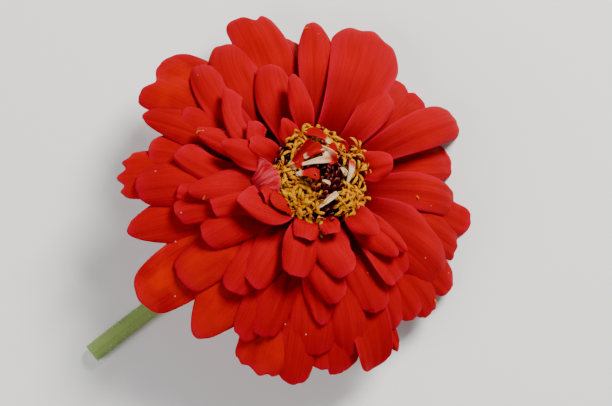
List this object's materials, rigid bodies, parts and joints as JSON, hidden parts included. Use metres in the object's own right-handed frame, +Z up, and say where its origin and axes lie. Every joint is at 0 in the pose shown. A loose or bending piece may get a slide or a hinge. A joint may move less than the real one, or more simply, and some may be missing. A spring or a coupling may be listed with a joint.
{
  "type": "zinnia flower",
  "caption": "Double zinnia bloom with tiered rounded ray petals round a yellow and maroon disc, picked with a short curved stem and lying on a surface.",
  "frame": {"origin": "middle of the footprint, on the surface that the flower lies on", "axes": "+Z up from the surface; the head faces up and leans a little towards +X +Y; the stem lies towards -X -Y"},
  "size_m": [0.092, 0.0892, 0.0394],
  "materials": {
    "petal": "soft velvety red petal tissue with fine lengthwise veins",
    "stem": "green herbaceous stem with fine ridges and hairs",
    "bract": "green bract with a dark rim",
    "chaff": "dark maroon papery chaff",
    "floret": "yellow floret tissue"
  },
  "bodies": {
    "root": {"stem": "stem", "bracts_inner": "bract", "bracts_middle": "bract", "bracts_outer": "bract", "disc_chaff": "chaff", "florets_left": "floret", "florets_top": "floret", "florets_right": "floret", "petal_rim_01": "petal", "petal_rim_02": "petal", "petal_rim_03": "petal", "petal_rim_04": "petal", "petal_rim_05": "petal", "petal_rim_06": "petal", "petal_rim_07": "petal", "petal_rim_08": "petal", "petal_rim_09": "petal", "petal_rim_10": "petal", "petal_rim_11": "petal", "petal_rim_12": "petal", "petal_rim_13": "petal", "petal_rim_14": "petal", "petal_rim_15": "petal", "petal_rim_16": "petal", "petal_rim_17": "petal", "petal_rim_18": "petal", "petal_rim_19": "petal", "petal_rim_20": "petal", "petal_rim_21": "petal", "petal_rim_22": "petal", "petal_rim_23": "petal", "petal_rim_24": "petal", "petal_rim_25": "petal", "petal_lower_01": "petal", "petal_lower_02": "petal", "petal_lower_03": "petal", "petal_lower_04": "petal", "petal_lower_05": "petal", "petal_lower_06": "petal", "petal_lower_07": "petal", "petal_middle_01": "petal", "petal_middle_02": "petal", "petal_middle_03": "petal", "petal_middle_04": "petal", "petal_middle_05": "petal", "petal_middle_06": "petal", "petal_upper_01": "petal", "petal_upper_02": "petal", "petal_upper_03": "petal", "petal_upper_04": "petal", "petal_upper_05": "petal", "petal_upper_06": "petal", "petal_upper_07": "petal", "petal_crown_01": "petal", "petal_crown_02": "petal", "petal_crown_03": "petal", "petal_crown_04": "petal", "petal_crown_05": "petal", "petal_crown_06": "petal", "petal_crown_07": "petal"}
  },
  "joints": []
}
